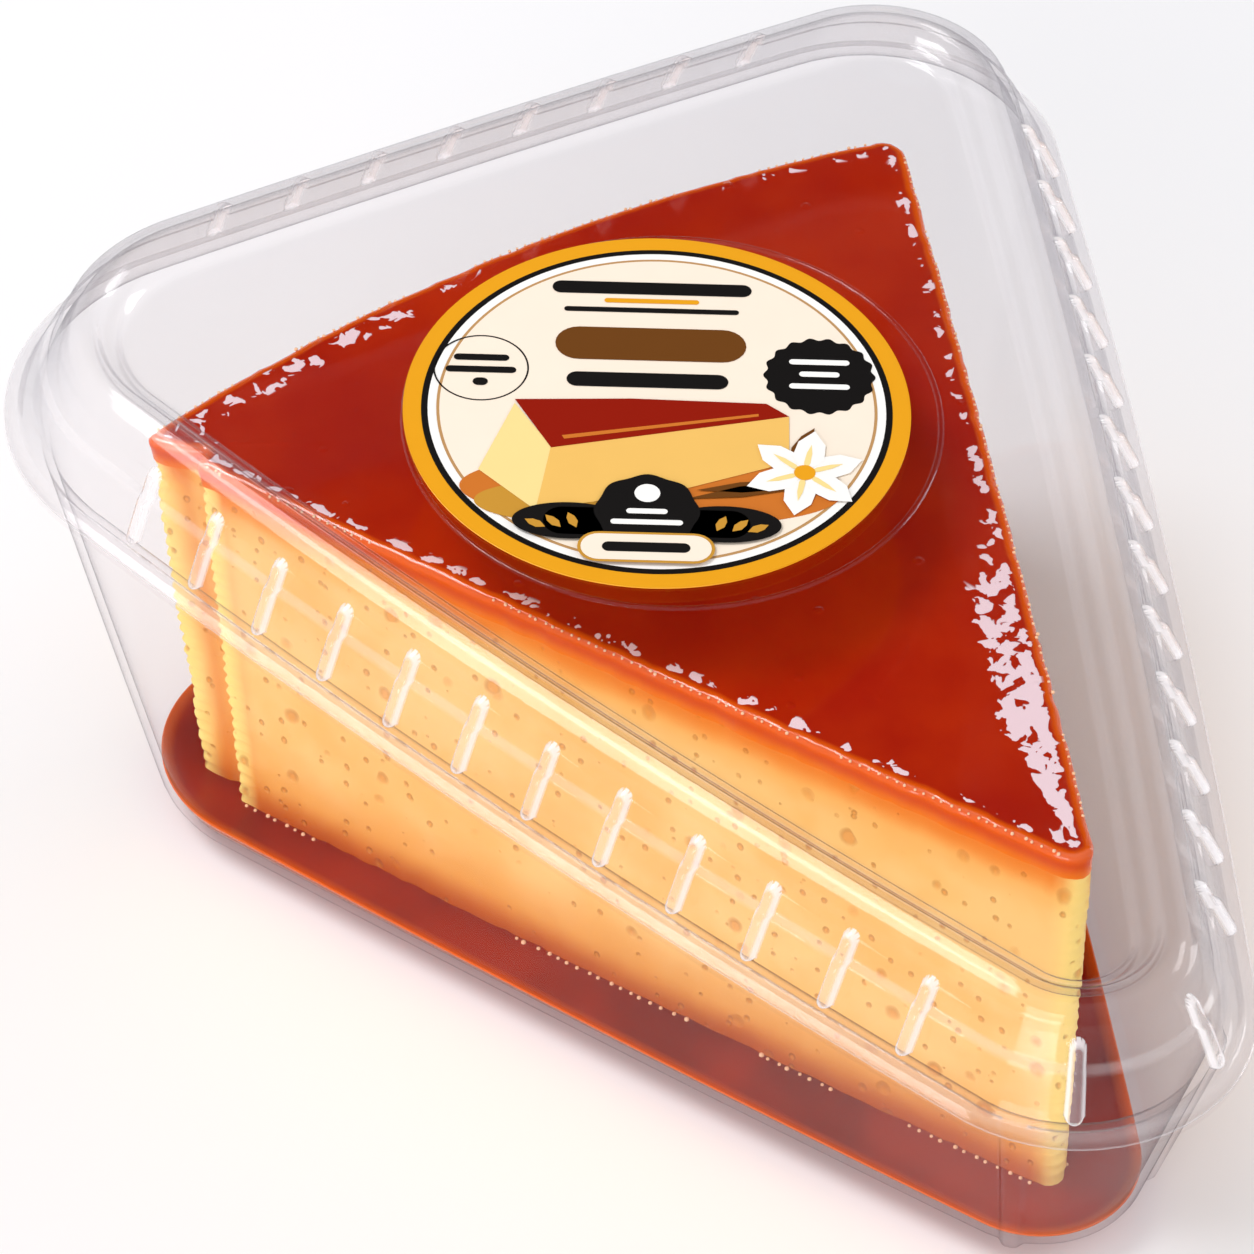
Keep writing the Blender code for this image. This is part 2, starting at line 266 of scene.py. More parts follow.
def custard_material():
    material, tree, out = new_material("custard")
    place = node(tree, "TexCoord").outputs["Object"]
    z = node(tree, "SeparateXYZ", {0: place}).outputs["Z"]
    mottle = node(tree, "TexNoise", {"Vector": place, "Scale": 90.0, "Detail": 3.0}).outputs[0]
    wander = node(tree, "TexNoise", {"Vector": place, "Scale": 55.0, "Detail": 2.0}).outputs[0]
    colour = mixed(tree, ranged(tree, mottle, 0.35, 0.65), srgb(246, 184, 98), srgb(250, 198, 120))
    low = math_node(tree, "SUBTRACT", z, math_node(tree, "MULTIPLY", wander, 0.003))
    colour = mixed(tree, ranged(tree, low, 0.0150, 0.0040), colour, srgb(238, 156, 66))
    colour = mixed(tree, ranged(tree, low, 0.0078, 0.0026), colour, srgb(206, 92, 14))
    colour = mixed(tree, ranged(tree, low, 0.0385, 0.0440), colour, srgb(248, 168, 76))
    colour = mixed(tree, ranged(tree, low, 0.0415, 0.0448), colour, srgb(238, 126, 24))
    # Painted shade: deeper orange in the set-back notch at the flan's left corner. Painted highlight: pale yellow along
    # the lit upright edges.
    colour = mixed(tree, attribute(tree, "deep"), colour, srgb(226, 122, 34))
    colour = mixed(tree, attribute(tree, "pale"), colour, srgb(255, 222, 128))
    stretched = node(tree, "Mapping", {"Vector": place, "Scale": (1, 1, 0.75)}).outputs[0]
    holes = []
    for scale, size in ((360.0, 0.36), (820.0, 0.34)):
        cells = node(tree, "TexVoronoi", {"Vector": stretched, "Scale": scale})
        chance = node(tree, "SeparateColor", {0: cells.outputs["Color"]}).outputs[0]
        reach = math_node(tree, "MULTIPLY", ranged(tree, chance, 0.35, 1.0), size)
        inside = math_node(tree, "SUBTRACT", reach, cells.outputs["Distance"])
        holes.append(ranged(tree, inside, 0.0, 0.2))
    hole = math_node(tree, "MAXIMUM", *holes)
    colour = mixed(tree, math_node(tree, "MULTIPLY", hole, 0.6), colour, srgb(224, 136, 46))
    height = math_node(tree, "SUBTRACT", math_node(tree, "MULTIPLY", mottle, 0.25), hole)
    bump = node(tree, "Bump", {"Strength": 0.6, "Distance": 0.0005, "Height": height}).outputs[0]
    shader = node(tree, "BsdfPrincipled", {"Base Color": colour, "Roughness": 0.5, "Normal": bump})
    shader.inputs["Specular IOR Level"].default_value = 0.25
    tree.links.new(shader.outputs[0], out.inputs[0])
    return material


def caramel_material():
    """Glossy layer: deep red on top, orange where it thins at the rim, with painted highlights: pale glints painted in
    its colour on its lumps.
    """
    material, tree, out = new_material("caramel layer")
    place = node(tree, "TexCoord").outputs["Object"]
    rim = attribute(tree, "rim")
    z = node(tree, "SeparateXYZ", {0: place}).outputs["Z"]
    mottle = node(tree, "TexNoise", {"Vector": place, "Scale": 60.0, "Detail": 4.0}).outputs[0]
    colour = mixed(tree, ranged(tree, mottle, 0.3, 0.7), srgb(172, 24, 1), srgb(192, 44, 3))
    colour = mixed(tree, ranged(tree, rim, 0.66, 0.97), colour, srgb(232, 92, 2))
    colour = mixed(tree, ranged(tree, z, 0.0487, 0.0478), colour, srgb(216, 74, 1))
    colour = mixed(tree, ranged(tree, z, 0.0478, 0.0462), colour, srgb(238, 116, 14))
    # Painted highlight: pale patches painted into the glaze where its lumps would catch the light; the bump also raises
    # them.
    lumps = node(tree, "TexNoise", {"Vector": place, "Scale": 620.0, "Detail": 2.0, "Distortion": 0.6}).outputs[0]
    strength = attribute(tree, "painted_glints")
    level = math_node(tree, "ADD", lumps, math_node(tree, "MULTIPLY", strength, 0.25))
    painted_glint = math_node(tree, "MULTIPLY", ranged(tree, level, 0.652, 0.672), ranged(tree, strength, 0.02, 0.12))
    colour = mixed(tree, painted_glint, colour, srgb(255, 226, 232))
    slow = node(tree, "TexNoise", {"Vector": place, "Scale": 45.0, "Detail": 1.0}).outputs[0]
    dots = node(tree, "TexVoronoi", {"Vector": place, "Scale": 210.0}).outputs["Distance"]
    pits = math_node(tree, "MULTIPLY", ranged(tree, dots, 0.13, 0.05), 0.1)
    height = math_node(tree, "ADD", math_node(tree, "MULTIPLY", painted_glint, 0.15), math_node(tree, "MULTIPLY", slow, 0.5))
    height = math_node(tree, "ADD", height, pits)
    bump = node(tree, "Bump", {"Strength": 0.8, "Distance": 0.001, "Height": height}).outputs[0]
    shine = ranged(tree, z, 0.0483, 0.0488, 0.15, 0.9)
    shader = node(tree, "BsdfPrincipled", {"Base Color": colour, "Roughness": 0.1, "Normal": bump})
    tree.links.new(shine, shader.inputs["Specular IOR Level"])
    tree.links.new(shader.outputs[0], out.inputs[0])
    return material


def sauce_material():
    material, tree, out = new_material("caramel sauce")
    place = node(tree, "TexCoord").outputs["Object"]
    thin = attribute(tree, "thin")
    mottle = node(tree, "TexNoise", {"Vector": place, "Scale": 70.0, "Detail": 2.0}).outputs[0]
    colour = mixed(tree, ranged(tree, mottle, 0.35, 0.65), srgb(118, 14, 0), srgb(150, 32, 1))
    colour = mixed(tree, thin, colour, srgb(226, 104, 24))
    bump = node(tree, "Bump", {"Strength": 0.4, "Distance": 0.0005, "Height": mottle}).outputs[0]
    shader = node(tree, "BsdfPrincipled", {"Base Color": colour, "Roughness": 0.08, "Normal": bump})
    shader.inputs["Specular IOR Level"].default_value = 0.22
    tree.links.new(shader.outputs[0], out.inputs[0])
    return material


def plain(name, colour, roughness, specular=0.5):
    material, tree, out = new_material(name)
    place = node(tree, "TexCoord").outputs["Object"]
    grain = node(tree, "TexNoise", {"Vector": place, "Scale": 300.0, "Detail": 2.0}).outputs[0]
    darker = tuple(c * 0.96 for c in colour)
    tone = mixed(tree, grain, colour, darker)
    shader = node(tree, "BsdfPrincipled", {"Base Color": tone, "Roughness": roughness})
    shader.inputs["Specular IOR Level"].default_value = specular
    tree.links.new(shader.outputs[0], out.inputs[0])
    return material


# ---------------------------------------------------------------- pack

def tub_profile():
    """Insets and heights up the outside, over the flange and down the inside."""
    quarter = [math.pi / 2 * k / 8 for k in range(9)]
    outside = [(FOOT_RADIUS * (1 - math.sin(a)), FOOT_RADIUS * (1 - math.cos(a))) for a in quarter]
    small = FOOT_RADIUS - WALL
    inside = [(WALL + small * (1 - math.sin(a)), WALL + small * (1 - math.cos(a))) for a in quarter]
    walls = [12, 20, 28, 36, 43, 48, TUB_TOP - TUB_LIP - 0.6]
    return outside + [(0, z) for z in walls], [(WALL, z) for z in walls[::-1]] + inside[::-1]


def tub_rib(stretch, along, z):
    """Upright rib at each end of the tub's rounded tip."""
    if stretch != 0:
        return 0
    across = min(abs(along - TUB_RIB_PLACE), abs(along - 1 + TUB_RIB_PLACE)) * TIP_ARC
    return 0.9 * smooth(1.3, 0.4, across) * smooth(1, 4, z) * smooth(50, 47, z)


def build_tub(material):
    stations = even_stations(3, 24, 20)
    for middle in (TUB_RIB_PLACE, 1 - TUB_RIB_PLACE):
        stations += [(0, middle + 0.3 * k / TIP_ARC) for k in range(-5, 6)]
    stations = sorted(set(stations))
    outside, inside = tub_profile()
    rings = []
    for inset, z in outside:
        flat = tub_outline(z, inset, stations)
        pushed = tub_outline(z, inset - 1, stations)
        ring = [p.lerp(q, tub_rib(s[0], s[1], z)) for p, q, s in zip(flat, pushed, stations)]
        rings.append([lift(p, z) for p in ring])
    for inset, z in ((-4.0, TUB_TOP - TUB_LIP - 0.1), (-FLANGE_GROW + 0.15, TUB_TOP - TUB_LIP),
                     (-FLANGE_GROW, TUB_TOP - TUB_LIP / 2), (-FLANGE_GROW + 0.15, TUB_TOP), (-3.4, TUB_TOP)):
        rings.append([lift(p, z) for p in outline(RIM, inset, stations)])
    for inset, z in inside:
        rings.append([lift(p, z) for p in tub_outline(z, inset, stations)])
    verts, faces = loft(rings)
    return piece("tub_clear", verts, faces, material, ("tub",), sharp=50)


def stretch_lengths(shape, inset=0):
    arcs, _ = fillets(shape[0], shape[1], inset)
    lengths = []
    for i, (start, centre, radius, first, turn) in enumerate(arcs):
        end = centre + Vector((math.cos(first + turn), math.sin(first + turn))) * radius
        lengths += [radius * abs(turn), (arcs[(i + 1) % len(arcs)][0] - end).length]
    return lengths


def rib_centres():
    lengths = stretch_lengths(RIM)
    centres = []
    for side in (1, 3, 5):
        count = int(lengths[side] / RIB_PITCH)
        margin = (lengths[side] - (count - 1) * RIB_PITCH) / 2
        centres += [(side, (margin + RIB_PITCH * k) / lengths[side]) for k in range(count)]
    return centres + [(0, 0.29), (0, 0.71)]


def lid_stations():
    """Fine stations across every rib and even ones elsewhere, each with its distance from the nearest rib."""
    lengths = stretch_lengths(RIM, -3)
    stations = {s: RIB_PITCH for s in even_stations(3, 20, 2)}
    for stretch, middle in rib_centres():
        for k in range(-6, 7):
            across = k / 6 * (RIB_HALF + 0.1)
            stations[(stretch, middle + across / lengths[stretch])] = abs(across)
    for stretch, middle in rib_centres():
        near = (RIB_HALF + 0.1) / lengths[stretch]
        for s in [s for s in stations if s[0] == stretch and stations[s] == RIB_PITCH and abs(s[1] - middle) <= near]:
            stations.pop(s)
    ordered = sorted(stations)
    return ordered, [stations[s] for s in ordered]


def rib_rise(across, z):
    """Height of a rib with round ends."""
    low, high = RIB_SPAN
    beyond = max(low - z, z - high, 0)
    away = math.hypot(across, beyond) / RIB_HALF
    return RIB_RISE * math.sqrt(1 - away * away) if away < 1 else 0


# Painted highlight on the lid sheet, given as whiteness from 0 for clear to 1.
RIB_CREST_HIGHLIGHT = 0.16
RIB_OUTLINE_HIGHLIGHT = 0.5
CREASE_HIGHLIGHT = 0.14
FOLD_HIGHLIGHT = 0.12
EDGE_HIGHLIGHT = 0.3
SKIRT_Z = (51.9, 59.3)


def rib_painted_highlight(across, z):
    """Painted highlight on a rib, given as whiteness of the sheet: most on its outline, less on its crest."""
    low, high = RIB_SPAN
    beyond = max(low - z, z - high, 0)
    away = math.hypot(across, beyond) / RIB_HALF
    return RIB_CREST_HIGHLIGHT + RIB_OUTLINE_HIGHLIGHT * smooth(0.45, 0.8, away) if away <= 1.02 else 0


def skirt_inset(z):
    t = (z - SKIRT_FOOT[1]) / (SKIRT_HEAD[1] - SKIRT_FOOT[1])
    return SKIRT_FOOT[0] + (SKIRT_HEAD[0] - SKIRT_FOOT[0]) * t


def lid_profile():
    """Outside from the panel over the ridge down to the flange, then the inside back up to the panel."""
    panel_in, panel_z = PANEL_EDGE
    outside = [(panel_in + 0.5, panel_z), (panel_in, panel_z + 0.03), (panel_in - 0.35, panel_z + 0.25),
               (panel_in - 0.8, panel_z + 0.95), (panel_in - 1.2, panel_z + 1.12), (3.5, 60.2), (3.1, 60.5),
               (2.8, 61.0), (2.45, 61.3), (2.1, 61.4), (1.8, 61.38), (1.4, 61.24), (0.9, 61.0), (0.3, 60.71),
               (-0.2, 60.47), (-0.5, 60.25), (-0.68, 59.9), SKIRT_HEAD]
    heights = [59.15] + [59.05 - 0.13 * k for k in range(7)] + [57.6, 57.0, CREASE_Z + 0.08]
    outside += [(skirt_inset(z), z) for z in heights]
    heights = [CREASE_Z - 0.08, 56.0, 55.0, 54.0, 53.4] + [53.2 - 0.13 * k for k in range(7)] + [52.2, 51.9]
    outside += [(skirt_inset(z) - 0.35, z) for z in heights]
    outside += [(-4.95, 51.45), (-5.2, 51.2), (-FLANGE_GROW + 0.15, 51.15), (-FLANGE_GROW, 51.0)]
    inside = [(-FLANGE_GROW + 0.15, LID_FLANGE_Z), (-4.4, LID_FLANGE_Z), (-3.7, 51.2), (-3.2, 52.2),
              (skirt_inset(56.5) + 0.55, 56.5), (SKIRT_HEAD[0] + 0.85, 59.2), (0.4, 60.1), (1.3, 60.65),
              (2.0, 60.7), (2.5, 60.3), (3.0, 59.6), (3.9, 59.45), (4.6, 58.9), (5.0, 58.25), (5.7, 58.2)]
    return outside, inside


def build_lid(material):
    stations, distances = lid_stations()
    outside, inside = lid_profile()
    rings = []
    painted_highlight = []
    for inset, z in outside:
        ring = outline(RIM, inset, stations)
        # Painted highlight lines along the crease, the fold by the flange and the flange's edge.
        crease = CREASE_HIGHLIGHT if abs(z - CREASE_Z) < 0.1 else 0
        fold = FOLD_HIGHLIGHT if -5.3 < inset < -4.6 and z < 51.8 else 0
        edge = EDGE_HIGHLIGHT if inset <= -FLANGE_GROW else 0
        on_skirt = SKIRT_Z[0] < z < SKIRT_Z[1] and inset < 0
        painted_highlight += [max(rib_painted_highlight(d, z) if on_skirt else 0, crease, fold, edge) for d in distances]
        if on_skirt:
            pushed = outline(RIM, inset - 1, stations)
            ring = [p.lerp(q, rib_rise(d, z)) for p, q, d in zip(ring, pushed, distances)]
        rings.append([lift(p, z) for p in ring])
    for inset, z in inside:
        rings.append([lift(p, z) for p in outline(RIM, inset, stations)])
    verts, faces = loft(rings)
    painted_highlight += [0.0] * (len(verts) - len(painted_highlight))
    return piece("lid_clear", verts, faces, material, ("lid",), sharp=60, values={"painted_highlight": painted_highlight})


def build_panel_ring(material):
    """Faint raised circle pressed into the panel round the label."""
    centre = Vector(LABEL_CENTRE) + Vector((0.8, -1.5))
    rings = []
    for radius, rise in ((24.0, -0.05), (24.15, 0.16), (24.45, 0.16), (24.6, -0.05)):
        turns = [2 * math.pi * k / 160 for k in range(160)]
        rings.append([lift(centre + Vector((math.cos(a), math.sin(a))) * radius, PANEL_EDGE[1] + rise) for a in turns])
    verts, faces = loft(rings, False, False)
    count = len(rings[0])
    faces += [(3 * count + i, 3 * count + (i + 1) % count, (i + 1) % count, i) for i in range(count)]
    return piece("panel_ring", verts, faces, material, sharp=60)


# ---------------------------------------------------------------- food

def flan_stations():
    stations = []
    for i, steps in enumerate((90, 70, 14, 6, 90)):
        stations += [(2 * i, k / 6) for k in range(6)]
        stations += [(2 * i + 1, k / steps) for k in range(steps)]
    return stations


def ripple(point, z, amount):
    """Small unevenness of a cut side."""
    where = Vector((point.x * 0.35, point.y * 0.35, z * 0.12))
    return noise.noise(where) * amount + noise.noise(where * 3.1) * amount * 0.35


def nearness(point, z, corner, far, close):
    """1 beside one of the flan's upright edges and 0 away from it."""
    t = (z - FLAN_BOTTOM_Z) / (FLAN_TOP_Z - FLAN_BOTTOM_Z)
    edge = Vector(FLAN_FOOT[0][corner]).lerp(Vector(FLAN_TOP[0][corner]), t)
    return smooth(far, close, (point - edge).length)


def build_custard(material):
    stations = flan_stations()
    rings = []
    pale, deep = [], []
    steps = 92
    for k in range(steps + 1):
        z = FLAN_BOTTOM_Z + (CARAMEL_BASE_Z - FLAN_BOTTOM_Z) * k / steps
        ring = []
        base = flan_outline(z, 0, stations)
        inner = flan_outline(z, 1, stations)
        for p, q in zip(base, inner):
            near = max(nearness(p, z, 0, 4.8, 2.0), nearness(p, z, 4, 2.6, 0.9), nearness(p, z, 2, 4.2, 1.2))
            scallop = 0.3 * near * (0.5 + 0.5 * math.sin(z * 4.2))
            ring.append(lift(p.lerp(q, abs(ripple(p, z, 0.35)) + scallop), z))
            # Painted highlight on the lit upright edges, and painted shade in the notch behind the front slab.
            pale.append(near)
            deep.append(nearness(p, z, 3, 4.6, 0.4) * (1 - near))
        rings.append(ring)
    verts, faces = loft(rings)
    return piece("custard_block", verts, faces, material, ("custard",), sharp=60,
                 values={"pale": pale, "deep": deep})


def painted_glint_strength(point, stretch, inset):
    """How thickly the painted glints, pale highlight patches, lie on the glaze: a wide patch by the right edge near the
    tip, narrow elsewhere.
    """
    near_tip = smooth(84, 62, point.y)
    if stretch <= 2:
        reach = 1.9 + 3.4 * near_tip * smooth(38, 52, point.y)
        most = 0.5 + 0.38 * near_tip
    elif stretch <= 4:
        reach = 3.6 * smooth(8, -20, point.x) + 1.6 * smooth(10, 30, point.x)
        most = 0.22 + 0.24 * smooth(-8, -20, point.x)
    else:
        reach, most = 1.7, 0.58
    return most * smooth(0.8, 1.4, inset) * smooth(reach + 0.5, reach - 0.4, inset)


def build_caramel(material):
    """The glaze: up its side, over the edge and in towards one middle point."""
    stations = flan_stations()
    middle = Vector((6, 102))
    side = [(0, 46.2), (0, 46.8), (0, 47.5), (-0.05, 48.1), (0.0, 48.5), (0.18, 48.78), (0.5, 48.95), (0.9, 49.0)]
    spreads = [0.004, 0.01, 0.02, 0.035, 0.055, 0.08, 0.11, 0.15, 0.2, 0.28, 0.4, 0.55, 0.75]
    rings, rims, painted_glints = [], [], []
    last = []
    for inset, z in side:
        base = flan_outline(min(z, FLAN_TOP_Z), 0, stations)
        inner = flan_outline(min(z, FLAN_TOP_Z), 1, stations)
        last = [p.lerp(q, inset + abs(ripple(p, z, 0.35))) for p, q in zip(base, inner)]
        rings.append([lift(p, z) for p in last])
        rims += [smooth(2.6, 0.2, inset)] * len(last)
        # Strength of the painted highlight glints at each vertex.
        painted_glints += [painted_glint_strength(p, way[0], inset) for p, way in zip(last, stations)]
    ways = [(q - p).normalized() for p, q in zip(base, inner)]
    depths = [(middle - p).dot(w) for p, w in zip(base, ways)]
    for spread in spreads:
        insets = [0.9 + spread * d for d in depths]
        rings.append([lift(p.lerp(middle, spread), 49 - 0.06 * smooth(0.9, 4, i)) for p, i in zip(last, insets)])
        rims += [smooth(2.6, 0.2, i) for i in insets]
        painted_glints += [painted_glint_strength(p, way[0], i) for p, way, i in zip(last, stations, insets)]
    verts, faces = loft(rings, True, False)
    count = len(last)
    start = len(verts)
    verts.append(lift(middle, 48.94))
    rims.append(0.0)
    painted_glints.append(0.0)
    faces += [(start - count + i, start - count + (i + 1) % count, start) for i in range(count)]
    return piece("caramel_layer", verts, faces, material, ("caramel_top",), sharp=60,
                 values={"rim": rims, "painted_glints": painted_glints})


def build_pool(material):
    """Sauce that reaches from under the flan's foot into the tub's wall."""
    stations = even_stations(3, 24, 30)
    verts, faces, thin = [], [], []
    rings = []
    for inset, z in ((6.0, 0.9), (3.8, 1.5), (1.9, 2.6), (0.8, 3.6), (0.6, 4.6), (0.75, 4.7), (1.2, 4.4), (1.9, POOL_Z),
                     (3.5, POOL_Z), (9, POOL_Z), (16, POOL_Z)):
        rings.append([lift(p, z) for p in tub_outline(z, inset, stations)])
        thin += [smooth(1.7, 0.7, inset) * 0.8 if z > 2 else 0.4] * len(stations)
    verts, faces = loft(rings)
    return piece("sauce_pool", verts, faces, material, ("caramel_pool",), sharp=60,
                 values={"thin": thin})


def bead(centre, radius):
    """A small low-sided ball."""
    verts = [centre + Vector((0, 0, radius))]
    for level in (0.5, 0.0, -0.5):
        reach = radius * math.cos(math.asin(level))
        verts += [centre + Vector((math.cos(a) * reach, math.sin(a) * reach, level * radius))
                  for a in (math.pi / 3 * k for k in range(6))]
    verts.append(centre + Vector((0, 0, -radius)))
    faces = [(0, 1 + k, 1 + (k + 1) % 6) for k in range(6)]
    for row in (0, 1):
        for k in range(6):
            a = 1 + row * 6
            faces.append((a + k, a + 6 + k, a + 6 + (k + 1) % 6, a + (k + 1) % 6))
    faces += [(19, 13 + (k + 1) % 6, 13 + k) for k in range(6)]
    return verts, faces


def build_beads(material):
    """Rows of tiny bubbles along the flan's top edges and along the line where its foot meets the sauce, coloured pale
    as painted highlight on these dotted rows.
    """
    verts, faces = [], []
    for z, inset, spacing, big in ((FLAN_TOP_Z - 0.12, 0.30, 0.9, 0.17), (POOL_Z + 0.02, -0.18, 1.15, 0.24)):
        shape = between(FLAN_FOOT, FLAN_TOP, z / FLAN_TOP_Z)
        lengths = stretch_lengths(shape, inset)
        for side in (1, 3, 9):
            count = int(lengths[side] / spacing)
            for k in range(count):
                jump = noise.noise(Vector((k * 0.73, side, z)))
                if noise.noise(Vector((k * 0.09, side * 2.3, z))) < -0.22:
                    continue
                p = outline(shape, inset + jump * 0.15, [(side, (k + 0.5 + jump * 0.5) / count)])[0]
                more_verts, more_faces = bead(lift(p, z), MM * big * (0.75 + 0.7 * abs(jump)))
                faces += [tuple(len(verts) + i for i in face) for face in more_faces]
                verts += more_verts
    return piece("edge_bubbles_painted_highlight", verts, faces, material, sharp=80)


# ---------------------------------------------------------------- label

def label_point(x, y, layer):
    """Label's own plan: x to the right and y up, in label radii, turned to face the viewer of its print."""
    c, s = math.cos(LABEL_TURN), math.sin(LABEL_TURN)
    at = Vector(LABEL_CENTRE) + Vector((x * c - y * s, x * s + y * c)) * LABEL_RADIUS
    return lift(at, LABEL_Z + 0.02 * layer)


# Plain bars where a printed title and notes would be: centre, half length, half height, shade.
TITLE_BARS = (
    (-0.03, 0.69, 0.40, 0.036, "black"), (-0.03, 0.615, 0.19, 0.013, "gold"), (-0.03, 0.56, 0.35, 0.014, "black"),
    (-0.03, 0.36, 0.38, 0.095, "brown"), (-0.04, 0.15, 0.32, 0.042, "black"),
    (-0.70, 0.26, 0.11, 0.018, "black"), (-0.70, 0.19, 0.14, 0.018, "black"), (-0.70, 0.12, 0.03, 0.022, "black"),
    (0.64, 0.28, 0.12, 0.015, "white"), (0.64, 0.21, 0.08, 0.015, "white"), (0.64, 0.14, 0.12, 0.015, "white"))
LABEL_TURN = AZIMUTH
LABEL_Z = 59.15


def flat_shape(name, loops, layer, material):
    """Thin printed shape from one outer loop, or a band between two loops of equal length."""
    verts, faces = [], []
    for loop in loops:
        verts += [label_point(x, y, layer) for x, y in loop]
    count = len(loops[0])
    if len(loops) == 1:
        faces.append(tuple(range(count)))
    else:
        faces += [(i, (i + 1) % count, count + (i + 1) % count, count + i) for i in range(count)]
    return piece(name, verts, faces, material, flat=True)


def oval(cx, cy, rx, ry, count=96, lobes=0, depth=0.0):
    turns = [2 * math.pi * k / count for k in range(count)]
    return [(cx + math.cos(a) * rx * (1 + depth * math.cos(lobes * a)),
             cy + math.sin(a) * ry * (1 + depth * math.cos(lobes * a))) for a in turns]


def petal(cx, cy, angle, length, width):
    points = [(0, 0), (0.35, -0.42), (0.7, -0.36), (1, 0), (0.7, 0.36), (0.35, 0.42)]
    c, s = math.cos(angle), math.sin(angle)
    return [(cx + c * u * length - s * v * width, cy + s * u * length + c * v * width) for u, v in points]


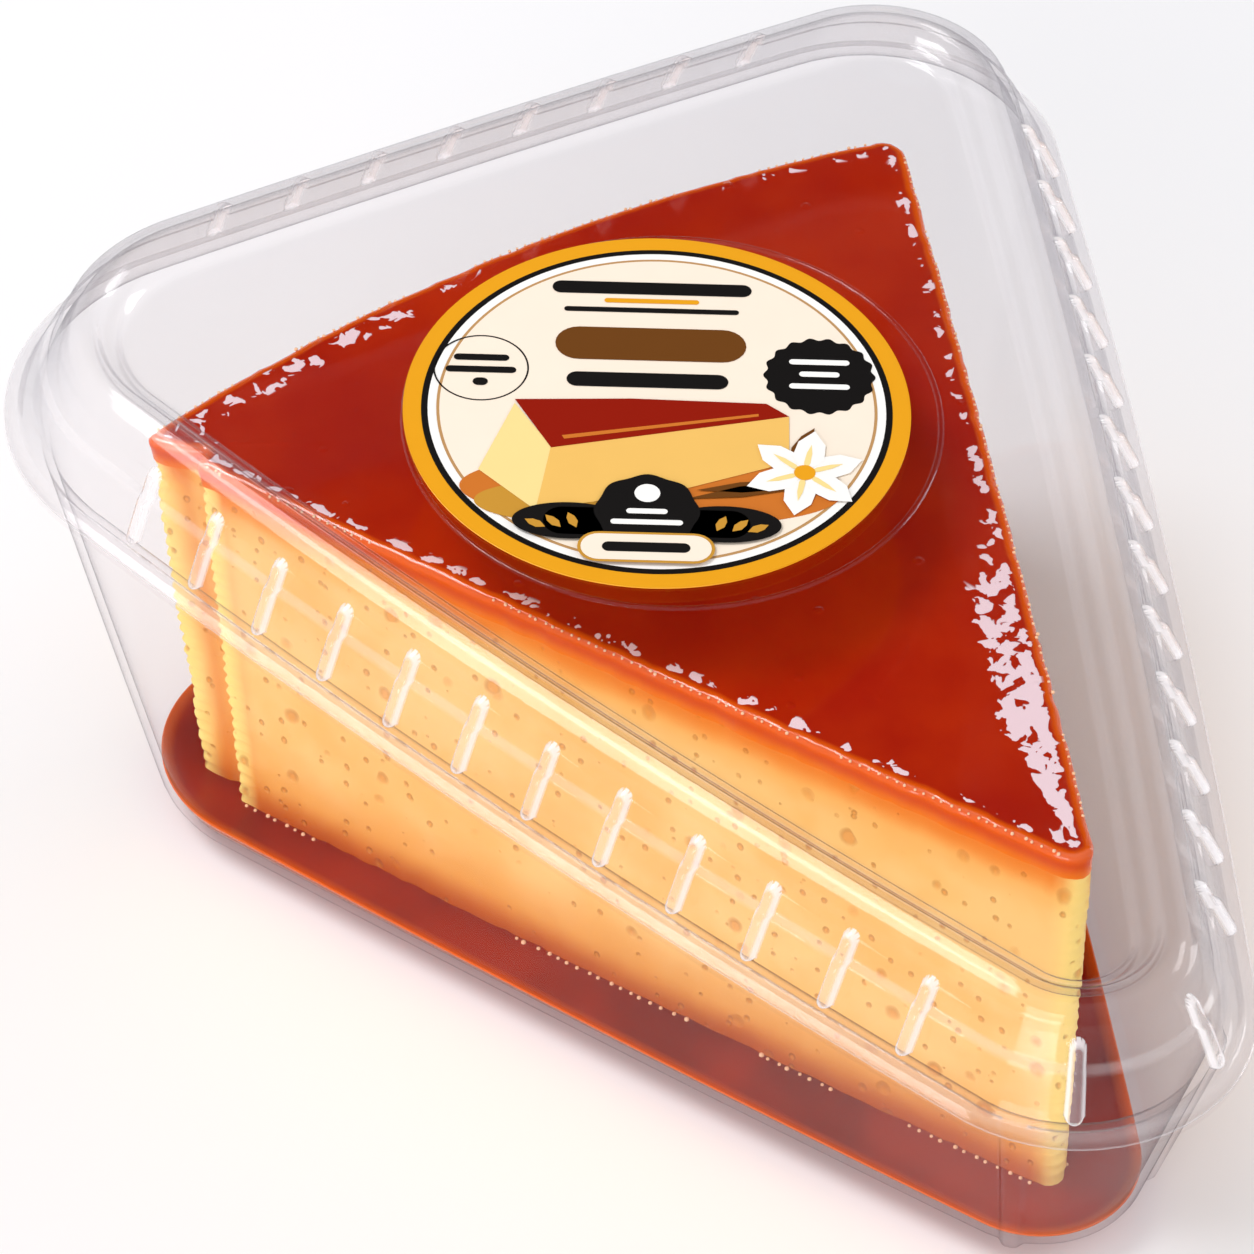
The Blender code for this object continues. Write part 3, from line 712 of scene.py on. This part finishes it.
def build_label():
    paper = plain("label paper", srgb(255, 240, 220), 0.35, 0.2)
    gold = plain("label gold", srgb(240, 166, 28), 0.35, 0.3)
    black = plain("label black", srgb(16, 13, 12), 0.4, 0.3)
    white = plain("label white", srgb(255, 253, 248), 0.35, 0.2)
    tan = plain("label tan", srgb(196, 150, 96), 0.4, 0.2)
    red = plain("label caramel", srgb(150, 26, 8), 0.35, 0.2)
    cream = plain("label pale custard", srgb(255, 226, 150), 0.4, 0.2)
    custard = plain("label custard", srgb(246, 196, 104), 0.4, 0.2)
    amber = plain("label amber", srgb(212, 120, 44), 0.4, 0.2)
    brown = plain("label brown", srgb(112, 66, 22), 0.4, 0.2)
    leaf = plain("label bronze", srgb(206, 150, 54), 0.4, 0.2)
    turns = [2 * math.pi * k / 160 for k in range(160)]
    low = [lift(Vector(LABEL_CENTRE) + Vector((math.cos(a), math.sin(a))) * LABEL_RADIUS, 59.0) for a in turns]
    high = [p + Vector((0, 0, (LABEL_Z - 59.0) * MM)) for p in low]
    verts, faces = loft([low, high])
    piece("label_disc", verts, faces, gold, ("label",), sharp=30)
    flat_shape("label_ring_black", [oval(0, 0, 0.928, 0.928, 160)], 1, black)
    flat_shape("label_ring_white", [oval(0, 0, 0.902, 0.902, 160)], 2, white)
    flat_shape("label_line_tan", [oval(0, 0, 0.868, 0.868, 160)], 3, tan)
    flat_shape("label_field", [oval(0, 0, 0.856, 0.856, 160)], 4, paper)
    # Two small badges: a thin round line at the left and a scalloped black field at the right.
    flat_shape("label_left_ring", [oval(-0.70, 0.2, 0.19, 0.19), oval(-0.70, 0.2, 0.183, 0.183)], 5, black)
    flat_shape("label_right_badge", [oval(0.64, 0.2, 0.215, 0.215, 144, 18, 0.035)], 5, black)
    for x, y, half, high, shade in TITLE_BARS:
        tone = {"brown": brown, "black": black, "gold": gold, "white": white}[shade]
        flat_shape("label_bar_%d" % len(bpy.data.meshes), [pill(x, y, half, high)], 6, tone)
    # A drawn slice in a puddle.
    flat_shape("label_puddle", [oval(-0.02, -0.47, 0.74, 0.20)], 5, amber)
    flat_shape("label_puddle_dark", [oval(-0.30, -0.55, 0.40, 0.12)], 6, leaf)
    flat_shape("label_slice_end", [[(-0.56, 0.0), (-0.69, -0.38), (-0.46, -0.60), (-0.41, -0.24)]], 7, cream)
    front = [(-0.41, -0.24), (-0.46, -0.60), (0.12, -0.46), (0.52, -0.30), (0.52, -0.04)]
    flat_shape("label_slice_front", [front], 8, custard)
    flat_shape("label_slice_top", [[(-0.56, 0.02), (-0.41, -0.25), (0.52, -0.04), (0.43, 0.03), (-0.1, 0.04)]], 9, red)
    flat_shape("label_slice_glint", [[(-0.36, -0.20), (0.40, -0.045), (0.40, -0.03), (-0.37, -0.18)]], 10, amber)
    # Vanilla flower with pods.
    pods = ((0.12, -0.52, 0.22, 0.62), (0.16, -0.47, 0.12, 0.5), (0.52, -0.30, 1.1, 0.22))
    for k, (x, y, turn, length) in enumerate(pods):
        flat_shape("label_pod_" + str(k), [petal(x, y, turn, length, 0.07)], 11, brown)
    for k in range(6):
        turn = math.pi / 3 * k + 0.35
        flat_shape("label_petal_" + str(k), [petal(0.58, -0.36, turn, 0.24, 0.15)], 12 + k % 2, white)
        flat_shape("label_petal_vein_" + str(k), [petal(0.58, -0.36, turn, 0.16, 0.03)], 14, cream)
    flat_shape("label_flower_heart", [oval(0.58, -0.36, 0.042, 0.042, 24)], 15, gold)
    # Dark ribbon badge with two sprigs and a pale plate below it.
    for side in (-1, 1):
        name = "label_ribbon" + ("_l" if side < 0 else "_r")
        flat_shape(name, [oval(-0.03 + side * 0.3, -0.66, 0.22, 0.1, 64)], 16, black)
    flat_shape("label_ribbon_bar", [pill(-0.03, -0.66, 0.4, 0.075)], 16, black)
    flat_shape("label_ribbon_middle", [oval(-0.03, -0.60, 0.2, 0.20, 96, 8, 0.03)], 17, black)
    for side in (-1, 1):
        for k in range(3):
            turn = math.pi / 2 - side * (0.4 + 0.35 * k)
            flat_shape("label_sprig_" + str(k) + ("_l" if side < 0 else "_r"),
                       [petal(-0.03 + side * (0.27 + 0.06 * k), -0.70, turn, 0.09, 0.045)], 18, leaf)
    flat_shape("label_ribbon_dot", [oval(-0.03, -0.50, 0.05, 0.05, 32)], 18, white)
    for y, half in ((-0.60, 0.08), (-0.66, 0.14)):
        flat_shape("label_ribbon_line_%d" % round(-100 * y), [pill(-0.03, y, half, 0.014)], 18, white)
    flat_shape("label_plate_edge", [pill(-0.03, -0.80, 0.265, 0.082)], 19, leaf)
    flat_shape("label_plate", [pill(-0.03, -0.80, 0.252, 0.070)], 20, paper)
    flat_shape("label_plate_bar", [pill(-0.03, -0.80, 0.17, 0.026)], 21, black)


def pill(cx, cy, half, high):
    points = []
    for side, first in ((1, -math.pi / 2), (-1, math.pi / 2)):
        for k in range(13):
            a = first + math.pi * k / 12
            points.append((cx + side * (half - high) + math.cos(a) * high, cy + math.sin(a) * high))
    return points


# ---------------------------------------------------------------- studio

def build_floor():
    material, tree, out = new_material("floor")
    shader = node(tree, "BsdfPrincipled", {"Base Color": (0.93, 0.93, 0.94, 1), "Roughness": 0.9})
    shader.inputs["Specular IOR Level"].default_value = 0.0
    tree.links.new(shader.outputs[0], out.inputs[0])
    mesh = bpy.data.meshes.new("floor")
    reach = 4.0
    corners = [(-reach, -reach, 0), (reach, -reach, 0), (reach, reach, 0), (-reach, reach, 0)]
    mesh.from_pydata(corners, [], [(0, 1, 2, 3)])
    mesh.materials.append(material)
    floor = bpy.data.objects.new("floor", mesh)
    bpy.context.collection.objects.link(floor)


def softbox(name, direction, distance, width, height, power, colour=(1, 1, 1)):
    data = bpy.data.lights.new(name, "AREA")
    data.shape = "RECTANGLE"
    data.size = width
    data.size_y = height
    data.energy = power
    data.color = colour
    lamp = bpy.data.objects.new(name, data)
    way = Vector(direction).normalized()
    lamp.location = way * distance + Vector((0, 0, 0.03))
    lamp.rotation_mode = "QUATERNION"
    lamp.rotation_quaternion = way.to_track_quat("Z", "Y")
    bpy.context.collection.objects.link(lamp)


def build_world():
    world = bpy.data.worlds.new("studio")
    bpy.context.scene.world = world
    world.use_nodes = True
    tree = world.node_tree
    tree.nodes.clear()
    place = node(tree, "TexCoord").outputs["Generated"]
    up = node(tree, "SeparateXYZ", {0: place}).outputs["Z"]
    ramp = node(tree, "ValToRGB", {0: up})
    stops = ((0.0, (0.95, 0.94, 0.97)), (0.22, (0.66, 0.65, 0.68)), (0.5, (0.62, 0.61, 0.64)),
             (0.8, (0.7, 0.7, 0.72)), (1.0, (0.95, 0.95, 0.97)))
    while len(ramp.color_ramp.elements) < len(stops):
        ramp.color_ramp.elements.new(0.5)
    for element, (position, colour) in zip(ramp.color_ramp.elements, stops):
        element.position = position
        element.color = (*colour, 1)
    # A dark flag behind and to the right keeps the flat panel and the glaze from mirroring a bright sky.
    toward = node(tree, "VectorMath", {0: place, 1: FLAG_WAY}, operation="DOT_PRODUCT").outputs["Value"]
    colour = mixed(tree, ranged(tree, toward, 0.72, 0.9), ramp.outputs[0], (0.02, 0.02, 0.022))
    seen = node(tree, "LightPath").outputs["Is Camera Ray"]
    colour = mixed(tree, seen, colour, (1.0, 1.0, 1.0))
    sky = node(tree, "Background", {"Color": colour, "Strength": 1.0})
    out = tree.nodes.new("ShaderNodeOutputWorld")
    tree.links.new(sky.outputs[0], out.inputs[0])


def build_camera():
    data = bpy.data.cameras.new("camera")
    data.lens = LENS
    data.sensor_width = 36
    data.clip_start = 0.01
    data.clip_end = 20
    level = math.cos(ELEVATION)
    back = Vector((math.sin(AZIMUTH) * level, -math.cos(AZIMUTH) * level, math.sin(ELEVATION)))
    right = Vector((0, 0, 1)).cross(back).normalized()
    up = back.cross(right)
    turned = right * math.cos(ROLL) + up * math.sin(ROLL)
    tilted = back.cross(turned)
    camera = bpy.data.objects.new("camera", data)
    camera.matrix_world = Matrix.Translation(lift(TARGET, TARGET[2]) + back * DISTANCE * MM) @ Matrix(
        (turned, tilted, back)).transposed().to_4x4()
    bpy.context.collection.objects.link(camera)
    bpy.context.scene.camera = camera


def plan_shift():
    """Centre of the rim's flange in the plan, less its centre in the frame."""
    flange = outline(RIM, -FLANGE_GROW, even_stations(3, 40, 40))
    xs = [p.x for p in flange]
    ys = [p.y for p in flange]
    low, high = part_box("lid")
    middle = (Vector(low) + Vector(high)) / (2 * MM)
    return Vector(((min(xs) + max(xs)) / 2 - middle.x, (min(ys) + max(ys)) / 2 - middle.y))


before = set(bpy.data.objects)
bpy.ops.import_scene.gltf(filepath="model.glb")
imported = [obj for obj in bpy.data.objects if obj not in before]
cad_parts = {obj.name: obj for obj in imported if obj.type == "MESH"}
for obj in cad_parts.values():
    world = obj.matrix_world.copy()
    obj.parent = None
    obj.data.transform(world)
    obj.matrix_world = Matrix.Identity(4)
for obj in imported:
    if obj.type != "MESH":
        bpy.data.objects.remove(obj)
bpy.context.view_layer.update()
SHIFT = plan_shift()

scene = bpy.context.scene
scene.view_settings.view_transform = "Standard"
scene.cycles.max_bounces = 10
scene.cycles.transparent_max_bounces = 40

clear_lid = plastic("clear lid", (0.985, 0.98, 0.983), (0.42, 0.40, 0.44), 3.6, 0.028, 0.5, 3.0)
clear_tub = plastic("clear tub", (0.985, 0.98, 0.983), (0.4, 0.38, 0.42), 14.0, 0.005, 0.3, 9.0)
build_tub(clear_tub)
build_lid(clear_lid)
build_panel_ring(clear_lid)
build_custard(custard_material())
build_caramel(caramel_material())
build_pool(sauce_material())
# The beads' pale colour is partly painted highlight.
build_beads(plain("bubbles", srgb(255, 205, 160), 0.15))
build_label()

build_floor()
build_world()
softbox("key", (-0.35, 0.35, 0.87), 0.9, 0.36, 0.36, 3.4)
softbox("fill", (-0.78, -0.6, 0.3), 1.1, 0.55, 0.6, 4.6)
softbox("side", (0.9, -0.1, 0.35), 1.1, 0.4, 0.4, 2.5)
build_camera()
